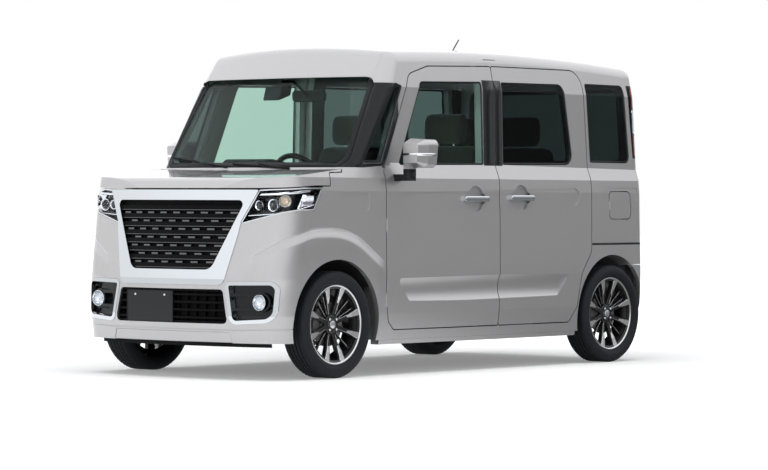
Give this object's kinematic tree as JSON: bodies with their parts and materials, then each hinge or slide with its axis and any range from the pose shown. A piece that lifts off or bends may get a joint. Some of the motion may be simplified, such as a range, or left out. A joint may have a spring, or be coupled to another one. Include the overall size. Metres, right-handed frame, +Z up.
{
  "type": "kei car",
  "caption": "Tall kei-class wagon with hinged front doors, bonnet, tailgate and fuel lid, steered front wheels and four rolling wheels.",
  "frame": {"origin": "on the ground, midway between the bumper tips, on the centre plane", "axes": "+X forward, +Y to the car's left, +Z up"},
  "size_m": [3.391, 1.864, 1.8654],
  "materials": {
    "body_paint": "silver metallic clear coat",
    "glass": "green tinted",
    "privacy_glass": "dark tinted",
    "alloy": "black with machined edges",
    "tyre": "matte",
    "chrome": "bright",
    "black_trim": "satin black",
    "lamp_glass": "clear",
    "tail_lens": "clear",
    "underbody": "satin grey primer",
    "aluminium": "bare",
    "cast_iron": "bare",
    "chassis_black": "satin black",
    "steel": "bare",
    "cabin_trim": "grained",
    "seat_fabric": "woven"
  },
  "bodies": {
    "car_body": {"antenna": "black_trim", "arch_liners": "black_trim", "cowl": "black_trim", "dashboard": "cabin_trim", "engine": "cast_iron", "exhaust": "steel", "floor_pan": "underbody", "fog_bezels": "chrome", "fog_lamps": "black_trim", "front_bumper": "body_paint", "front_fenders": "body_paint", "front_structure": "underbody", "front_suspension": "chassis_black", "fuel_tank": "black_trim", "grille": "black_trim", "grille_frame": "chrome", "headlamps": "lamp_glass", "lamp_cases": "black_trim", "lower_grille": "black_trim", "radiator": "aluminium", "rear_axle": "chassis_black", "rear_bumper": "body_paint", "roof_panel": "body_paint", "seats": "seat_fabric", "side_frame_left": "body_paint", "side_frame_right": "body_paint", "side_glass": "privacy_glass", "side_skirts": "body_paint", "sliding_door_left": "body_paint", "sliding_door_right": "body_paint", "steering_wheel": "cabin_trim", "tail_lamps": "tail_lens", "windscreen": "glass"},
    "bonnet_body": {"bonnet": "body_paint"},
    "tailgate_body": {"tailgate": "body_paint", "tailgate_glass": "privacy_glass"},
    "fuel_lid_body": {"fuel_lid": "body_paint"},
    "front_door_left_body": {"front_door_left": "body_paint", "front_door_glass_left": "glass", "door_mirror_left": "body_paint"},
    "knuckle_left_body": {"knuckle_left": "cast_iron"},
    "wheel_front_left_body": {"wheel_front_left": "alloy", "tyre_front_left": "tyre"},
    "wheel_rear_left_body": {"wheel_rear_left": "alloy", "tyre_rear_left": "tyre"},
    "front_door_right_body": {"front_door_right": "body_paint", "front_door_glass_right": "glass", "door_mirror_right": "body_paint"},
    "knuckle_right_body": {"knuckle_right": "cast_iron"},
    "wheel_front_right_body": {"wheel_front_right": "alloy", "tyre_front_right": "tyre"},
    "wheel_rear_right_body": {"wheel_rear_right": "alloy", "tyre_rear_right": "tyre"}
  },
  "joints": [
    {"name": "steer_left", "type": "hinge", "parent": "car_body", "child": "knuckle_left_body", "pos_m": [1.16, 0.6, 0.2], "axis": [0, -0.2096, 0.9778], "range_deg": [-35, 35]},
    {"name": "steer_right", "type": "hinge", "parent": "car_body", "child": "knuckle_right_body", "pos_m": [1.16, -0.6, 0.2], "axis": [0, 0.2096, 0.9778], "range_deg": [-35, 35]},
    {"name": "roll_front_left", "type": "hinge", "parent": "knuckle_left_body", "child": "wheel_front_left_body", "pos_m": [1.16, 0.645, 0.281], "axis": [0, 1, 0], "continuous": true},
    {"name": "roll_rear_left", "type": "hinge", "parent": "car_body", "child": "wheel_rear_left_body", "pos_m": [-1.3, 0.645, 0.281], "axis": [0, 1, 0], "continuous": true},
    {"name": "front_door_left_hinge", "type": "hinge", "parent": "car_body", "child": "front_door_left_body", "pos_m": [0.772, 0.7335, 0.7], "axis": [0, 0, -1], "range_deg": [0, 68]},
    {"name": "roll_front_right", "type": "hinge", "parent": "knuckle_right_body", "child": "wheel_front_right_body", "pos_m": [1.16, -0.645, 0.281], "axis": [0, 1, 0], "continuous": true},
    {"name": "roll_rear_right", "type": "hinge", "parent": "car_body", "child": "wheel_rear_right_body", "pos_m": [-1.3, -0.645, 0.281], "axis": [0, 1, 0], "continuous": true},
    {"name": "front_door_right_hinge", "type": "hinge", "parent": "car_body", "child": "front_door_right_body", "pos_m": [0.772, -0.7335, 0.7], "axis": [0, 0, 1], "range_deg": [0, 68]},
    {"name": "bonnet_hinge", "type": "hinge", "parent": "car_body", "child": "bonnet_body", "pos_m": [1.057, 0, 1.0965], "axis": [0, -1, 0], "range_deg": [0, 60]},
    {"name": "tailgate_hinge", "type": "hinge", "parent": "car_body", "child": "tailgate_body", "pos_m": [-1.54, 0, 1.7395], "axis": [0, 1, 0], "range_deg": [0, 85]},
    {"name": "fuel_lid_hinge", "type": "hinge", "parent": "car_body", "child": "fuel_lid_body", "pos_m": [-1.273, 0.7215, 0.907], "axis": [0, 0, -1], "range_deg": [0, 85]}
  ],
  "couplings": [
    {"joint": "steer_right", "follows": "steer_left", "ratio": 1}
  ]
}
